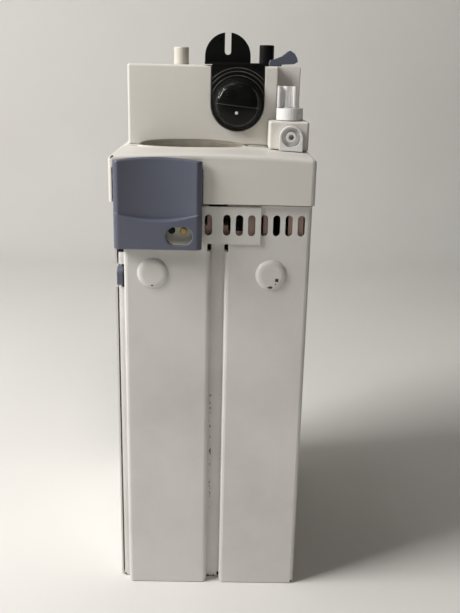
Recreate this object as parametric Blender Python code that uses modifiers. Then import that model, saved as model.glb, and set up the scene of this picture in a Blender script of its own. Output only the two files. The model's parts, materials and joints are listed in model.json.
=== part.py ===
"""Plug-in gas module of a patient monitor, standing on its rear end.

Metres, +Z up. The service end with the water trap faces up, and the side that
slides in the monitor's guide rails, with its two guide grooves, faces -Y.
The origin is at the middle of the rear end, where the module stands.
"""

import math

import bmesh
import bpy
from mathutils import Matrix, Vector

GAP = 0.0003              # clearance between neighbouring pieces
SHEET = 0.001             # sheet steel of the casing

# Casing: two slots of the monitor wide, one guide groove for each slot.
CASE_FRONT = -0.05225
CASE_BACK = 0.05575
CASE_LEFT = -0.0358       # sleeve edge, the side cover lies outside it
CASE_RIGHT = 0.0365
CASE_TOP = 0.1617
GROOVE_DEPTH = 0.004
GROOVE_FLOOR = CASE_FRONT + GROOVE_DEPTH
RAIL_STRIP_END = -0.0331
CENTRE_GROOVE = (-0.0007, 0.0047)
BEND_OUTSIDE = 0.0015     # radius of a bend on its outer side, and on its inner side
BEND_INSIDE = 0.0005
SHEET_CORNER = 0.0013     # the blank's rounded corners at the rear end
COVER_X = (-0.0367, CASE_LEFT - GAP)
SIDE_SCREWS = ((-0.0440, 0.0180), (-0.0440, 0.1100), (0.0510, 0.0180), (0.0510, 0.1100))        # Y and Z
REAR_SCREWS = ((-0.0260, -0.0360), (0.0280, -0.0360), (-0.0260, 0.0460), (0.0280, 0.0460))    # X and Y

# Service end: bezel, block on it, and what the block carries.
BEZEL_LEFT = -0.0379
BEZEL_RIGHT = 0.0371
BEZEL_FRONT = -0.05425
BEZEL_BACK = 0.05775
BEZEL_BOTTOM = 0.1623
BEZEL_SHOULDER = 0.1790
BEZEL_CROWN = 0.0013
BEZEL_WALL = 0.0026
BLOCK_LEFT = -0.0342
BLOCK_RIGHT = 0.0330
BLOCK_FRONT = -0.0210
BLOCK_BACK = 0.0530
BLOCK_TOP = 0.2105
BLOCK_WALL = 0.0030
STEP_X = 0.0239           # right of this the block's face is set back
STEP_FACE = -0.0175
STUBS = {                 # X, Y and radius of each pipe stub on top
    "exhaust_stub": (-0.0140, -0.0080, 0.00297),
    "inlet_stub": (0.0209, 0.0094, 0.0031),
}

# Finger recess in the bezel, in front of the block and under its foot.
RECESS_CENTRE = (-0.0089, -0.0232)
RECESS_SIZE = (0.0215, 0.0081, 0.0085)     # half lengths along X and Y, and the depth
RECESS_ARCH = 0.0021
RECESS_WALL = 0.0014

# Water trap: a U-shaped notch in the block, with the trap pushed into it from above.
TRAP_X = 0.0086
TRAP_Z = 0.1961
NOTCH_RADIUS = 0.01045
BOWL_RIM_RADIUS = 0.0101
BOWL_DOME_RADIUS = 0.00895
GRIP_X = 0.0045
GRIP_Z = 0.2138
GRIP_RADIUS = 0.0089

# Release tab: hinged on a pin in the bezel, with the latch hook on its arm.
TAB_LEFT = -0.0360
TAB_RIGHT = -0.0039
TAB_BOTTOM = 0.1457
TAB_TOP = 0.1776
TAB_ARCH = 0.0014
TAB_FRONT = -0.05775
TAB_BACK = -0.0551
TAB_PIVOT = (-0.0526, 0.1720)     # Y and Z of the hinge axis
LEDGE_SIDE = 0.1592
LEDGE_SAG = 0.0031
SCOOP_DEPTH = 0.0019
WINDOW = (-0.01205, 0.15085)
WINDOW_SIZE = (0.0095, 0.0069)
HOOK_Z = (0.1300, 0.1369)
HOOK_OPENING_Z = (0.1288, 0.1378)

# Vents in the front face, near the bezel.
VENT_PITCH = 0.00455
VENT_SIZE = (0.0027, 0.0079)
VENT_Z = 0.1544
VENT_ON_PLATE_X = (-0.0016, 0.0052, 0.0098, 0.0143)
FIRST_CASE_VENT_X = 0.0190
PLATE_RIGHT = 0.0177
PLATE_BOTTOM = 0.1473
PLATE_TOP = 0.1612
BUMP_X = 0.0222
BUMP_Z = 0.1356

# Sampling port at the right of the bezel.
PORT_X = 0.02905
PORT_Z = 0.1849
PORT_BLOCK = (0.0207, 0.0360)
PORT_FRONT = -0.0320
PORT_TOP = 0.1906
PLUG_X = 0.0273
PLUG_Y = -0.0260
COLLAR_X = 0.0287

# Lever that ejects the trap.
LEVER_PIVOT = (0.0240, 0.2088)    # X and Z of the hinge axis

# Fan and pump inside the casing.
FAN_CENTRE = (0.0, 0.0484, 0.060)
FAN_SIZE = 0.040
FAN_DEPTH = 0.010
PUMP_AXIS = (0.0, 0.005)
PUMP_BOTTOM = 0.014

COLOURS = {
    "powder_coat": ((0.66, 0.64, 0.61), 0.55, 0.0),
    "cream_plastic": ((0.72, 0.68, 0.60), 0.42, 0.0),
    "blue_plastic": ((0.085, 0.095, 0.135), 0.45, 0.0),
    "black_plastic": ((0.012, 0.012, 0.013), 0.25, 0.0),
    "white_plastic": ((0.80, 0.79, 0.80), 0.30, 0.0),
    "clear_plastic": ((0.75, 0.77, 0.76), 0.05, 0.0),
    "rubber": ((0.02, 0.02, 0.02), 0.70, 0.0),
    "steel": ((0.42, 0.42, 0.42), 0.35, 1.0),
    "aluminium": ((0.62, 0.62, 0.63), 0.40, 1.0),
    "brass": ((0.60, 0.42, 0.16), 0.30, 1.0),
    "insulation": ((0.42, 0.30, 0.26), 0.85, 0.0),
    "circuit_board": ((0.02, 0.12, 0.06), 0.50, 0.0),
    "tubing": ((0.75, 0.75, 0.70), 0.35, 0.0),
}


def clear_scene():
    for obj in list(bpy.data.objects):
        bpy.data.objects.remove(obj, do_unlink=True)


def new_collection(name):
    collection = bpy.data.collections.new(name)
    bpy.context.scene.collection.children.link(collection)
    return collection


def make_materials():
    made = {}
    for name, (colour, roughness, metallic) in COLOURS.items():
        material = bpy.data.materials.new(name)
        material.use_nodes = True
        shader = material.node_tree.nodes["Principled BSDF"]
        shader.inputs["Base Color"].default_value = (*colour, 1.0)
        shader.inputs["Roughness"].default_value = roughness
        shader.inputs["Metallic"].default_value = metallic
        made[name] = material
    return made


clear_scene()
PARTS = new_collection("gas_module")
CUTTERS = new_collection("cutters")
CUTTERS.hide_render = True
MATERIALS = make_materials()


def register(obj, material):
    """Puts an object with the parts, or with the cutters where it has no material."""
    if material is None:
        CUTTERS.objects.link(obj)
        obj.hide_render = True
        obj.display_type = "WIRE"
    else:
        PARTS.objects.link(obj)
        obj.data.materials.append(MATERIALS[material])
    return obj


def add_bevel(obj, width, segments=2):
    bevel = obj.modifiers.new("round_edges", "BEVEL")
    bevel.width = width
    bevel.segments = segments
    bevel.limit_method = "ANGLE"
    bevel.angle_limit = math.radians(35)
    return obj


def boolean(obj, other, operation="DIFFERENCE"):
    modifier = obj.modifiers.new(f"{operation.lower()}_{other.name}", "BOOLEAN")
    modifier.operation = operation
    modifier.solver = "EXACT"
    modifier.object = other
    return obj


def box(name, low, high, material=None, bevel=0.0, segments=2):
    """A box between two corners, with its origin at its middle."""
    size = Vector(high) - Vector(low)
    shape = bmesh.new()
    bmesh.ops.create_cube(shape, size=1.0)
    bmesh.ops.scale(shape, vec=size, verts=shape.verts)
    mesh = bpy.data.meshes.new(name)
    shape.to_mesh(mesh)
    shape.free()
    obj = bpy.data.objects.new(name, mesh)
    obj.location = (Vector(high) + Vector(low)) / 2
    register(obj, material)
    if bevel:
        add_bevel(obj, bevel, segments)
    return obj


def set_origin(obj, place):
    """Puts a moving piece's origin on its joint's axis, and leaves its shape where it is."""
    obj.data.transform(Matrix.Translation(-Vector(place)) @ obj.matrix_world)
    obj.matrix_world = Matrix.Translation(place)


def arc(centre, radius, start, end, steps):
    """Points on an arc, angles in degrees."""
    points = []
    for index in range(steps + 1):
        angle = math.radians(start + (end - start) * index / steps)
        points.append((centre[0] + radius * math.cos(angle), centre[1] + radius * math.sin(angle)))
    return points


def circle(centre, radius, steps=24):
    return arc(centre, radius, 0, 360, steps)[:-1]


def rectangle(low, high):
    return [low, (high[0], low[1]), high, (low[0], high[1])]


def rounded(corners, radii, steps=3, closed=True):
    """The corners of an outline, each replaced with an arc. An open outline keeps its two ends."""
    points = []
    for index, (corner, radius) in enumerate(zip(corners, radii)):
        if not closed and index in (0, len(corners) - 1):
            points.append(corner)
            continue
        here = Vector(corner)
        before = (Vector(corners[index - 1]) - here).normalized()
        after = (Vector(corners[(index + 1) % len(corners)]) - here).normalized()
        half_angle = before.angle(after) / 2
        reach = radius / math.tan(half_angle)
        middle = here + (before + after).normalized() * radius / math.sin(half_angle)
        first = here + before * reach - middle
        turn = first.angle_signed(here + after * reach - middle)
        for step in range(steps + 1):
            angle = math.atan2(first.y, first.x) - turn * step / steps
            points.append((middle.x + radius * math.cos(angle), middle.y + radius * math.sin(angle)))
    return points


def obround(centre, size, steps=6):
    """A slot with round ends, along whichever side is longer."""
    radius = min(size) / 2
    reach = max(size) / 2 - radius
    if size[0] >= size[1]:
        ends = arc((centre[0] + reach, centre[1]), radius, -90, 90, steps)
        return ends + arc((centre[0] - reach, centre[1]), radius, 90, 270, steps)
    ends = arc((centre[0], centre[1] + reach), radius, 0, 180, steps)
    return ends + arc((centre[0], centre[1] - reach), radius, 180, 360, steps)


FLAT_TURNS = {
    "XY": (0.0, 0.0, 0.0),
    "XZ": (math.pi / 2, 0.0, 0.0),
    "YZ": (math.pi / 2, 0.0, math.pi / 2),
}


def flat(name, outlines, plane, low, high, material=None):
    """Outlines in a plane, filled and extruded from low to high along the axis across it."""
    curve = bpy.data.curves.new(name, "CURVE")
    curve.dimensions = "2D"
    curve.fill_mode = "BOTH"
    curve.extrude = (high - low) / 2
    for outline in outlines:
        spline = curve.splines.new("POLY")
        spline.points.add(len(outline) - 1)
        for point, (across, up) in zip(spline.points, outline):
            point.co = (across, up, 0.0, 1.0)
        spline.use_cyclic_u = True
    drawn = bpy.data.objects.new(name + "_outline", curve)
    middle = (high + low) / 2
    drawn.location = {"XY": (0, 0, middle), "XZ": (0, middle, 0), "YZ": (middle, 0, 0)}[plane]
    drawn.rotation_euler = FLAT_TURNS[plane]
    return curve_to_mesh(drawn, name, material)


def curve_to_mesh(drawn, name, material):
    bpy.context.scene.collection.objects.link(drawn)
    bpy.context.view_layer.update()
    evaluated = drawn.evaluated_get(bpy.context.evaluated_depsgraph_get())
    mesh = bpy.data.meshes.new_from_object(evaluated)
    shape = bmesh.new()
    shape.from_mesh(mesh)
    bmesh.ops.remove_doubles(shape, verts=shape.verts, dist=1e-6)
    bmesh.ops.dissolve_limit(shape, angle_limit=math.radians(0.1), verts=shape.verts, edges=shape.edges)
    bmesh.ops.recalc_face_normals(shape, faces=shape.faces)
    shape.to_mesh(mesh)
    shape.free()
    obj = bpy.data.objects.new(name, mesh)
    obj.matrix_world = drawn.matrix_world.copy()
    bpy.data.objects.remove(drawn, do_unlink=True)
    return register(obj, material)


TURN_AXES = {
    "Z": (0.0, 0.0, 0.0),
    "X": (0.0, math.pi / 2, 0.0),
    "-Y": (math.pi / 2, 0.0, 0.0),
}


def turned(name, profile, place, axis="Z", material=None, steps=24):
    """A profile of (radius, height) points, outer side from the top down, turned about an axis."""
    closed = profile[0][0] > 0
    mesh = bpy.data.meshes.new(name)
    shape = bmesh.new()
    made = [shape.verts.new((radius, 0.0, height)) for radius, height in profile]
    for first, second in zip(made, made[1:]):
        shape.edges.new((first, second))
    if closed:
        shape.edges.new((made[-1], made[0]))
    shape.to_mesh(mesh)
    shape.free()
    obj = bpy.data.objects.new(name, mesh)
    obj.location = place
    obj.rotation_euler = TURN_AXES[axis]
    register(obj, material)
    screw = obj.modifiers.new("turn", "SCREW")
    screw.steps = steps
    screw.render_steps = steps
    screw.use_merge_vertices = True
    screw.merge_threshold = 0.00001
    screw.use_smooth_shade = True
    return obj


def rod(name, radius, place, low, high, axis="Z", material=None, steps=16):
    """A round bar between two heights along its axis, measured from its place."""
    profile = [(0, high), (radius, high), (radius, low), (0, low)]
    return turned(name, profile, place, axis, material, steps)


def smooth_route(points, spacing):
    """Points at even spacing on a smooth curve through the given points."""
    ends = [points[0]] + points + [points[-1]]
    route = []
    for index in range(1, len(ends) - 2):
        before, start, end, after = [Vector(point) for point in ends[index - 1:index + 3]]
        steps = max(2, round((end - start).length / spacing))
        for step in range(steps):
            t = step / steps
            route.append(0.5 * (
                2 * start + (end - before) * t
                + (2 * before - 5 * start + 4 * end - after) * t ** 2
                + (3 * start - before - 3 * end + after) * t ** 3
            ))
    route.append(Vector(points[-1]))
    return route


def tube(name, route, radius, material, resolution=2):
    """A round tube along a route, as a curve with filled ends."""
    curve = bpy.data.curves.new(name, "CURVE")
    curve.dimensions = "3D"
    curve.bevel_depth = radius
    curve.bevel_resolution = resolution
    curve.use_fill_caps = True
    spline = curve.splines.new("POLY")
    spline.points.add(len(route) - 1)
    for point, place in zip(spline.points, route):
        point.co = (*place, 1.0)
    obj = bpy.data.objects.new(name, curve)
    return register(obj, material)


def smooth(obj, angle=35):
    obj.data.shade_smooth()
    obj.data.set_sharp_from_angle(angle=math.radians(angle))
    return obj


def crown(x):
    """Height of the bezel's top face, which rises slightly to its middle."""
    middle, half_width = (BEZEL_LEFT + BEZEL_RIGHT) / 2, (BEZEL_RIGHT - BEZEL_LEFT) / 2
    return BEZEL_SHOULDER + BEZEL_CROWN * (1 - ((x - middle) / half_width) ** 2)


def crown_line(left, right, lift, steps=6):
    """Points along the top face of the bezel from left to right, lifted by a clearance."""
    line = []
    for index in range(steps + 1):
        x = left + (right - left) * index / steps
        line.append((x, crown(x) + lift))
    return line


def notch_outline(radius, top):
    """The U shape of the trap's notch: a half circle below, straight sides up to the top."""
    lower = arc((TRAP_X, TRAP_Z), radius, 180, 360, 16)
    return lower + [(TRAP_X + radius, top), (TRAP_X - radius, top)]


# ---- casing ----

def folded_sheet(name, path, low, high, material):
    """A path across the sheet, drawn up from low to high and given the sheet's thickness."""
    shape = bmesh.new()
    bottom = [shape.verts.new((x, y, low)) for x, y in path]
    edges = [shape.edges.new(pair) for pair in zip(bottom, bottom[1:])]
    drawn = bmesh.ops.extrude_edge_only(shape, edges=edges)
    upper = [item for item in drawn["geom"] if isinstance(item, bmesh.types.BMVert)]
    bmesh.ops.translate(shape, verts=upper, vec=(0, 0, high - low))
    mesh = bpy.data.meshes.new(name)
    shape.to_mesh(mesh)
    shape.free()
    obj = register(bpy.data.objects.new(name, mesh), material)
    solidify = obj.modifiers.new("thickness", "SOLIDIFY")
    solidify.thickness = SHEET
    solidify.offset = 1.0
    solidify.use_even_offset = True
    return obj


def make_bump(obj, index, x):
    """A round boss pressed out of the front face, hollow behind like the sheet around it."""
    place = (x, CASE_FRONT, BUMP_Z)
    raised = [
        (0, 0.0011), (0.0039, 0.0011), (0.0048, 0.0009), (0.0056, 0.0004),
        (0.0061, -0.0003), (0, -0.0003),
    ]
    hollow = [(0, 0.0), (0.0036, 0.0), (0.0052, -0.0012), (0, -0.0012)]
    boolean(obj, turned(f"bump_{index}", raised, place, "-Y"), "UNION")
    boolean(obj, turned(f"bump_hollow_{index}", hollow, place, "-Y"))


def sheet_corners():
    """What is cut off the front sheet's corners at the rear end, beside each fold."""
    outlines = []
    for x, inward in ((RAIL_STRIP_END, 1), (CENTRE_GROOVE[0], -1), (CENTRE_GROOVE[1], 1), (CASE_RIGHT, -1)):
        beside, across = x - inward * SHEET, x + inward * SHEET_CORNER
        outline = [(beside, SHEET_CORNER), (beside, -SHEET), (across, -SHEET)]
        for step in range(5):
            angle = math.radians(90 * step / 4)
            outline.append((
                x + inward * SHEET_CORNER * (1 - math.sin(angle)),
                SHEET_CORNER * (1 - math.cos(angle)),
            ))
        outlines.append(outline)
    return outlines


def make_casing():
    corners = [
        (CASE_LEFT, -0.0400), (CASE_LEFT, GROOVE_FLOOR), (RAIL_STRIP_END, GROOVE_FLOOR),
        (RAIL_STRIP_END, CASE_FRONT), (CENTRE_GROOVE[0], CASE_FRONT), (CENTRE_GROOVE[0], GROOVE_FLOOR),
        (CENTRE_GROOVE[1], GROOVE_FLOOR), (CENTRE_GROOVE[1], CASE_FRONT), (CASE_RIGHT, CASE_FRONT),
        (CASE_RIGHT, CASE_BACK), (CASE_LEFT, CASE_BACK), (CASE_LEFT, 0.0470),
    ]
    inward_corners = (2, 5, 6)
    radii = [BEND_INSIDE if index in inward_corners else BEND_OUTSIDE for index in range(len(corners))]
    path = rounded(corners, radii, closed=False)
    sleeve = folded_sheet("casing_sleeve", path, 0.0, CASE_TOP, "powder_coat")
    for index, x in enumerate((-BUMP_X, BUMP_X), start=1):
        make_bump(sleeve, index, x)
    holes = []
    for index in range(4):
        x = FIRST_CASE_VENT_X + index * VENT_PITCH
        holes.append(obround((x, VENT_Z), VENT_SIZE))
    behind_plate = [
        (-0.0032, 0.1490), (0.0165, 0.1490), (0.0165, 0.1600), (0.0054, 0.1600),
        (0.0054, 0.1665), (-0.0019, 0.1665), (-0.0019, 0.1600), (-0.0032, 0.1600),
    ]
    holes.append(behind_plate)
    boolean(sleeve, flat("front_holes", holes, "XZ", -0.0560, -0.0440))
    slots = [rectangle((x, 0.1442), (x + 0.0013, 0.1478)) for x in (-0.0019, 0.0046)]
    boolean(sleeve, flat("bend_relief_slots", slots, "XZ", -0.0540, -0.0440))
    boolean(sleeve, flat("sheet_corners", sheet_corners(), "XZ", -0.0540, -0.0497))
    hook_low, hook_high = HOOK_OPENING_Z
    boolean(sleeve, box("hook_opening", (-0.0380, -0.0520, hook_low), (-0.0333, -0.0420, hook_high)))
    boolean(sleeve, box("arm_opening", (-0.0380, -0.0520, 0.1423), (-0.0333, -0.0462, 0.1473)))
    fan_slots = [obround((x, FAN_CENTRE[2]), (0.0038, 0.034)) for x in (-0.014, -0.007, 0.0, 0.007, 0.014)]
    boolean(sleeve, flat("fan_slots", fan_slots, "XZ", 0.0500, 0.0600))
    for index, (y, z) in enumerate(SIDE_SCREWS, start=1):
        boolean(sleeve, rod(f"side_hole_{index}", 0.0012, (CASE_LEFT, y, z), -0.002, 0.003, "X"))


def make_side_cover():
    front, back = GROOVE_FLOOR + 0.0004, 0.0553
    low, high = 0.0004, CASE_TOP - 0.0003
    hook_low, hook_high = HOOK_OPENING_Z
    outline = [
        (front, low), (back, low), (back, high), (front, high),
        (front, hook_high), (-0.0420, hook_high), (-0.0420, hook_low), (front, hook_low),
    ]
    cover = flat("side_cover", [outline], "YZ", COVER_X[0], COVER_X[1], "powder_coat")
    for index, (y, z) in enumerate(SIDE_SCREWS, start=1):
        place = (COVER_X[0], y, z)
        seat = [(0, 0.0010), (0.0016, 0.0010), (0.0016, 0.0005), (0.0023, -0.0002), (0, -0.0002)]
        boolean(cover, turned(f"cover_seat_{index}", seat, place, "X", steps=16))
        profile = [
            (0, 0.0040), (0.0009, 0.0040), (0.0009, 0.0006), (0.0017, 0.0001),
            (0.0007, 0.0001), (0.0007, 0.0004), (0, 0.0004),
        ]
        turned(f"side_screw_{index}", profile, place, "X", "steel", 16)


def make_vent_plate():
    outline = rectangle((-0.0055, PLATE_BOTTOM), (PLATE_RIGHT, PLATE_TOP))
    vents = [obround((x, VENT_Z), VENT_SIZE) for x in VENT_ON_PLATE_X]
    plate = flat("vent_plate", [outline] + vents, "XZ", CASE_FRONT - 0.0008, CASE_FRONT - GAP, "powder_coat")
    tongue_back = GROOVE_FLOOR - GAP
    tongue_side = [
        (CASE_FRONT - 0.0007, PLATE_BOTTOM + 0.0004), (tongue_back - 0.0004, PLATE_BOTTOM + 0.0004),
        (tongue_back - 0.0004, 0.1436), (tongue_back, 0.1436),
        (tongue_back, PLATE_BOTTOM + 0.0012), (CASE_FRONT - 0.0007, PLATE_BOTTOM + 0.0012),
    ]
    tongue = flat("bridge_tongue", [tongue_side], "YZ", CENTRE_GROOVE[0] + GAP, CENTRE_GROOVE[1] - GAP)
    boolean(plate, tongue, "UNION")


def make_rear_end():
    inner_front = GROOVE_FLOOR + SHEET + GAP
    lobe_front = CASE_FRONT + SHEET + GAP
    reach = SHEET + 0.0004
    strip_end = RAIL_STRIP_END + reach
    groove_left, groove_right = CENTRE_GROOVE[0] - reach, CENTRE_GROOVE[1] + reach
    outline = [
        (-0.0341, inner_front), (strip_end, inner_front), (strip_end, lobe_front), (groove_left, lobe_front),
        (groove_left, inner_front), (groove_right, inner_front), (groove_right, lobe_front),
        (CASE_RIGHT - SHEET - GAP, lobe_front), (CASE_RIGHT - SHEET - GAP, CASE_BACK - SHEET - GAP),
        (-0.0341, CASE_BACK - SHEET - GAP),
    ]
    window = rectangle((-0.0215, 0.0100), (0.0215, 0.0220))
    panel = flat("rear_panel", [outline, window], "XY", 0.0, 0.0020, "powder_coat")
    for index, (x, y) in enumerate(REAR_SCREWS, start=1):
        seat = [(0, 0.0030), (0.0017, 0.0030), (0.0017, 0.0015), (0.0034, -0.0002), (0, -0.0002)]
        boolean(panel, turned(f"screw_seat_{index}", seat, (x, y, 0.0), steps=16))
        profile = [
            (0, 0.0052), (0.0013, 0.0052), (0.0013, 0.0014), (0.0027, 0.0001),
            (0.0010, 0.0001), (0.0010, 0.0008), (0, 0.0008),
        ]
        turned(f"rear_screw_{index}", profile, (x, y, 0.0), "Z", "steel", 16)
    body = box("rear_connector", (-0.0210, 0.0105, 0.0006), (0.0210, 0.0215, 0.0120), "black_plastic", 0.0004)
    boolean(body, box("connector_mouth", (-0.0190, 0.0125, -0.0010), (0.0190, 0.0195, 0.0080)))
    comb = []
    for index in range(16):
        x = -0.0175 + index * 0.00225
        comb += [(x, 0.0070), (x, 0.0047), (x + 0.0010, 0.0047), (x + 0.0010, 0.0070)]
    comb += [(0.0182, 0.0070), (0.0182, 0.0077), (-0.0182, 0.0077), (-0.0182, 0.0070)]
    flat("connector_contacts", [comb], "XZ", 0.0156, 0.0164, "brass")


# ---- bezel and block ----

def make_bezel():
    top = list(reversed(crown_line(BEZEL_LEFT, BEZEL_RIGHT, 0.0, 10)))
    skirt = BEZEL_BOTTOM - 0.003      # cut off below, so that the lower edge stays sharp
    outline = [(BEZEL_LEFT, skirt), (BEZEL_RIGHT, skirt)] + top
    bezel = flat("front_bezel", [outline], "XZ", BEZEL_FRONT, BEZEL_BACK, "cream_plastic")
    add_bevel(bezel, 0.0016, 3)
    boolean(bezel, box("bezel_trim", (-0.0450, -0.0620, 0.1500), (0.0450, 0.0650, BEZEL_BOTTOM)))
    hollow_low = (BEZEL_LEFT + BEZEL_WALL, -0.0490, 0.1600)
    hollow_high = (BEZEL_RIGHT - BEZEL_WALL, BEZEL_BACK - BEZEL_WALL, BEZEL_SHOULDER - BEZEL_WALL)
    boolean(bezel, box("bezel_hollow", hollow_low, hollow_high))
    boolean(bezel, finger_recess("recess_tub", RECESS_WALL), "UNION")
    boolean(bezel, finger_recess("bezel_recess"))
    boolean(bezel, box("tab_pocket", (TAB_LEFT - 0.0005, -0.0600, 0.1600), (TAB_RIGHT + GAP, -0.0506, 0.1748)))
    pin_hole = rod("pivot_hole", 0.0012, (0.0, *TAB_PIVOT), -0.0370, TAB_RIGHT + 0.0010, "X")
    boolean(bezel, pin_hole)
    boolean(bezel, box("tube_passage", (-0.0200, 0.0000, 0.1700), (0.0200, 0.0400, 0.1850)))
    return bezel


def finger_recess(name, wall=0.0):
    """The finger recess: a deep oval hollow in the bezel that runs under an arch in the block's foot.

    With a wall it is the tub around the hollow, which stays below the bezel's top face.
    """
    across, along, depth = (size + wall for size in RECESS_SIZE)
    above = RECESS_WALL / 2 if wall else RECESS_ARCH
    shape = bmesh.new()
    bmesh.ops.create_uvsphere(shape, u_segments=40, v_segments=14, radius=1.0)
    for vert in shape.verts:
        vert.co = (vert.co.x * across, vert.co.y * along, vert.co.z * (depth if vert.co.z < 0 else above))
    mesh = bpy.data.meshes.new(name)
    shape.to_mesh(mesh)
    shape.free()
    obj = bpy.data.objects.new(name, mesh)
    obj.location = (*RECESS_CENTRE, crown(RECESS_CENTRE[0]) - (RECESS_WALL if wall else 0.0))
    return register(obj, None)


def make_block():
    foot = crown_line(BLOCK_LEFT, BLOCK_RIGHT, GAP, 10)
    outline = foot + [(BLOCK_RIGHT, BLOCK_TOP), (BLOCK_LEFT, BLOCK_TOP)]
    block = flat("front_block", [outline], "XZ", BLOCK_FRONT, BLOCK_BACK, "cream_plastic")
    add_bevel(block, 0.0008, 2)
    low = (BLOCK_LEFT + BLOCK_WALL, -0.0143, 0.1760)
    high = (BLOCK_RIGHT - BLOCK_WALL, BLOCK_BACK - BLOCK_WALL, BLOCK_TOP - BLOCK_WALL)
    boolean(block, box("block_hollow", low, high))
    boolean(block, box("face_step", (STEP_X, -0.0300, 0.1700), (0.0400, STEP_FACE, 0.2200)))
    notch = notch_outline(NOTCH_RADIUS, 0.2200)
    boolean(block, flat("notch", [notch], "XZ", -0.0250, 0.0033))
    boolean(block, finger_recess("block_recess"))
    lever_low = (0.0202, -0.0044, 0.2040)
    boolean(block, box("lever_slot", lever_low, (0.0276, 0.0044, 0.2200)))
    pivot = (LEVER_PIVOT[0], 0.0, LEVER_PIVOT[1])
    boolean(block, rod("lever_pin_hole", 0.00105, pivot, -0.0061, 0.0061, "-Y", steps=12))
    for name, (x, y, radius) in STUBS.items():
        hole = rod(f"{name}_hole", radius + GAP, (x, y, BLOCK_TOP), -0.0060, 0.0020)
        boolean(block, hole)
    return block


def make_stub(name, top, material):
    x, y, radius = STUBS[name]
    bore = 0.0017
    bottom = 0.2010
    flange_top = BLOCK_TOP - BLOCK_WALL - GAP
    profile = [
        (bore, top), (radius - 0.0003, top), (radius, top - 0.0003), (radius, flange_top),
        (radius + 0.0010, flange_top), (radius + 0.0010, flange_top - 0.0012),
        (radius - 0.0008, flange_top - 0.0012), (radius - 0.0008, bottom), (bore, bottom),
    ]
    turned(name, profile, (x, y, 0.0), "Z", material, 18)


# ---- water trap ----

def make_trap():
    outer = notch_outline(NOTCH_RADIUS - GAP, BLOCK_TOP - GAP)
    receptacle = flat("trap_receptacle", [outer], "XZ", -0.0173, 0.0030, "black_plastic")
    inner = notch_outline(NOTCH_RADIUS - 0.0014, 0.2150)
    boolean(receptacle, flat("receptacle_inside", [inner], "XZ", -0.0200, 0.0018))

    face = notch_outline(BOWL_RIM_RADIUS, BLOCK_TOP + 0.0005)
    cartridge = flat("trap_cartridge", [face], "XZ", -0.0208, -0.0177, "black_plastic")
    core = notch_outline(NOTCH_RADIUS - 0.00175, BLOCK_TOP + 0.0005)
    boolean(cartridge, flat("cartridge_core", [core], "XZ", -0.0180, 0.0014), "UNION")
    lip = box("cartridge_lip", (-0.0044, -0.0212, BLOCK_TOP + GAP), (0.0186, 0.0014, 0.2115))
    boolean(cartridge, lip, "UNION")
    boolean(cartridge, flat("grip_plate", [grip_outline()], "XZ", -0.0164, -0.0140), "UNION")
    for index, radius in enumerate((0.0106, 0.0120, 0.0134), start=1):
        ring = [(radius + 0.0007, 0.002), (radius + 0.0007, -0.0004), (radius, -0.0004), (radius, 0.002)]
        boolean(cartridge, turned(f"face_ring_{index}", ring, (TRAP_X, -0.0208, TRAP_Z), "-Y", steps=48))
    boolean(cartridge, rod("gas_bore", 0.0014, (TRAP_X, -0.0208, TRAP_Z), -0.0060, 0.0020, "-Y"))

    make_bowl()


def grip_outline():
    """A half round plate with straight skirts and a slot down from its top."""
    slot, slot_bottom = 0.00122, GRIP_Z + 0.0018
    gap_angle = math.degrees(math.asin(slot / GRIP_RADIUS))
    centre = (GRIP_X, GRIP_Z)
    right = arc(centre, GRIP_RADIUS, 0, 90 - gap_angle, 12)
    bottom_of_slot = arc((GRIP_X, slot_bottom), slot, 0, -180, 8)
    left = arc(centre, GRIP_RADIUS, 90 + gap_angle, 180, 12)
    skirt = [(GRIP_X - GRIP_RADIUS, 0.2111), (GRIP_X + GRIP_RADIUS, 0.2111)]
    return right + bottom_of_slot + left + skirt


def make_bowl():
    """The bowl, turned about the Y axis and open towards the trap's face."""
    place = (TRAP_X, 0.0, TRAP_Z)
    rim_back, rim_front, dome_front = 0.0221, 0.0238, 0.0282
    wall = 0.0011
    outer = [(0, dome_front)]
    inner = []
    steps, flatness = 5, 0.62           # below 1 the dome is flatter in front and rounder at its rim
    for step in range(1, steps + 1):
        angle = math.pi / 2 * step / steps
        out, up = math.sin(angle) ** flatness, max(0.0, math.cos(angle)) ** flatness
        height = (dome_front - rim_front) * up
        outer.append((BOWL_DOME_RADIUS * out, rim_front + height))
        inner.append(((BOWL_DOME_RADIUS - wall) * out, rim_front - wall + height))
    rim = [(BOWL_RIM_RADIUS, rim_front), (BOWL_RIM_RADIUS, rim_back), (BOWL_DOME_RADIUS - wall, rim_back)]
    profile = outer + rim + list(reversed(inner)) + [(0, dome_front - wall)]
    turned("trap_bowl", profile, place, "-Y", "clear_plastic", 32)
    gasket = [(0.0098, 0.0218), (0.0098, 0.0211), (0.0084, 0.0211), (0.0084, 0.0218)]
    turned("bowl_seal", gasket, place, "-Y", "rubber", 24)
    rod("trap_membrane", 0.0079, place, 0.0212, 0.0217, "-Y", "black_plastic", 24)


# ---- lever ----

def make_lever():
    x, z = LEVER_PIVOT
    hub = arc((x, z), 0.0017, 185, 350, 8)
    blade = [
        (x + 0.0026, z + 0.0024), (x + 0.0075, z + 0.0027), (x + 0.0090, z + 0.0036), (x + 0.0086, z + 0.0052),
        (x + 0.0077, z + 0.0067), (x + 0.0059, z + 0.0079), (x + 0.0051, z + 0.0077), (x + 0.0027, z + 0.0057),
        (x - 0.0003, z + 0.0045), (x - 0.0020, z + 0.0042), (x - 0.0025, z + 0.0027),
    ]
    eye = circle((x, z), 0.00105, 12)
    lever = flat("trap_lever", [hub + blade, eye], "XZ", -0.0040, 0.0040, "blue_plastic")
    set_origin(lever, (x, 0.0, z))
    smooth(lever)
    rod("lever_pin", 0.00075, (x, 0.0, z), -0.0058, 0.0058, "-Y", "steel", 12)


# ---- sampling port ----

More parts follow.
